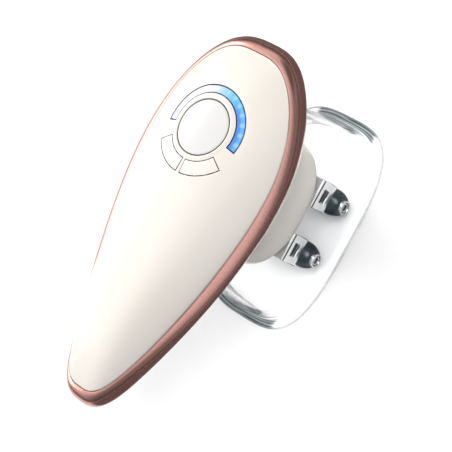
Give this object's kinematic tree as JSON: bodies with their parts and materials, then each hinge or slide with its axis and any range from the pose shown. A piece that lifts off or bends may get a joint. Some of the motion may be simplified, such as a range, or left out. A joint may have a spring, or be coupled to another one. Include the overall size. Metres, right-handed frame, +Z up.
{
  "type": "suction massager",
  "caption": "Hand-held vacuum body massager: teardrop body with a metallic band, arc light window, round release button, and a clear suction cup with free rollers inside.",
  "frame": {"origin": "on the plane of the cup's lip, under the middle of the body's length and width", "axes": "+X towards the wide head, +Y to the left, +Z up, away from the skin"},
  "size_m": [0.205, 0.0962, 0.1147],
  "materials": {
    "pearl_shell": "satin pearl",
    "button_white": "gloss",
    "rose_band": "satin rose plated",
    "light_window": "translucent",
    "clear_cup": "clear gloss",
    "roller_navy": "gloss",
    "chrome_trim": "polished",
    "carrier_chrome": "polished",
    "steel": "satin",
    "board_green": "matt",
    "grey_rubber": "matt",
    "cell_wrap": "gloss",
    "white_plastic": "matt",
    "black_plastic": "matt"
  },
  "bodies": {
    "housing": {"top_shell": "pearl_shell", "trim_band": "rose_band", "bottom_shell": "pearl_shell", "led_window": "light_window", "button_spring": "steel", "control_board": "board_green", "led_strip": "white_plastic", "power_switch": "black_plastic", "light_switch": "black_plastic", "valve_body": "black_plastic", "chassis": "white_plastic", "pump_motor": "steel", "pump_head": "black_plastic", "suction_manifold": "black_plastic", "port_filter": "steel", "air_hose": "grey_rubber", "vent_hose": "grey_rubber", "battery_cell_left": "cell_wrap", "battery_cell_right": "cell_wrap", "battery_tray": "white_plastic", "charge_jack": "black_plastic", "suction_cup": "clear_cup", "cup_seal": "grey_rubber", "roller_carrier_front": "carrier_chrome", "roller_carrier_rear": "carrier_chrome", "axle_front": "steel", "axle_rear": "steel", "hub_cap_front_left": "chrome_trim", "hub_cap_front_right": "chrome_trim", "hub_cap_rear_left": "chrome_trim", "hub_cap_rear_right": "chrome_trim", "screw_head_left": "steel", "screw_head_right": "steel", "screw_tail_left": "steel", "screw_tail_right": "steel"},
    "release_button_body": {"release_button": "button_white"},
    "power_key_body": {"power_key": "pearl_shell"},
    "light_key_body": {"light_key": "pearl_shell"},
    "valve_stem_body": {"valve_stem": "white_plastic"},
    "pump_crank_body": {"pump_crank": "white_plastic"},
    "drum_front_left_body": {"drum_front_left": "roller_navy"},
    "drum_front_right_body": {"drum_front_right": "roller_navy"},
    "drum_rear_left_body": {"drum_rear_left": "roller_navy"},
    "drum_rear_right_body": {"drum_rear_right": "roller_navy"}
  },
  "joints": [
    {"name": "release_press", "type": "slide", "parent": "housing", "child": "release_button_body", "axis": [0, 0, -1], "range_m": [0, 0.0025], "stiffness_N_per_m": 600, "springref_m": -0.0015, "deforming": ["button_spring"]},
    {"name": "valve_press", "type": "slide", "parent": "housing", "child": "valve_stem_body", "axis": [0, 0, -1], "range_m": [0, 0.0025]},
    {"name": "power_press", "type": "slide", "parent": "housing", "child": "power_key_body", "axis": [0, 0, -1], "range_m": [0, 0.0007], "stiffness_N_per_m": 1200, "springref_m": -0.0005},
    {"name": "light_press", "type": "slide", "parent": "housing", "child": "light_key_body", "axis": [0, 0, -1], "range_m": [0, 0.0007], "stiffness_N_per_m": 1200, "springref_m": -0.0005},
    {"name": "pump_spin", "type": "hinge", "parent": "housing", "child": "pump_crank_body", "pos_m": [0.031, 0, 0.0575], "axis": [1, 0, 0], "continuous": true},
    {"name": "drum_front_left_spin", "type": "hinge", "parent": "housing", "child": "drum_front_left_body", "pos_m": [0.047, 0, 0.0095], "axis": [0, 1, 0], "continuous": true},
    {"name": "drum_front_right_spin", "type": "hinge", "parent": "housing", "child": "drum_front_right_body", "pos_m": [0.047, 0, 0.0095], "axis": [0, 1, 0], "continuous": true},
    {"name": "drum_rear_left_spin", "type": "hinge", "parent": "housing", "child": "drum_rear_left_body", "pos_m": [0.015, 0, 0.0095], "axis": [0, 1, 0], "continuous": true},
    {"name": "drum_rear_right_spin", "type": "hinge", "parent": "housing", "child": "drum_rear_right_body", "pos_m": [0.015, 0, 0.0095], "axis": [0, 1, 0], "continuous": true}
  ],
  "couplings": [
    {"joint": "valve_press", "follows": "release_press", "ratio": 1}
  ]
}
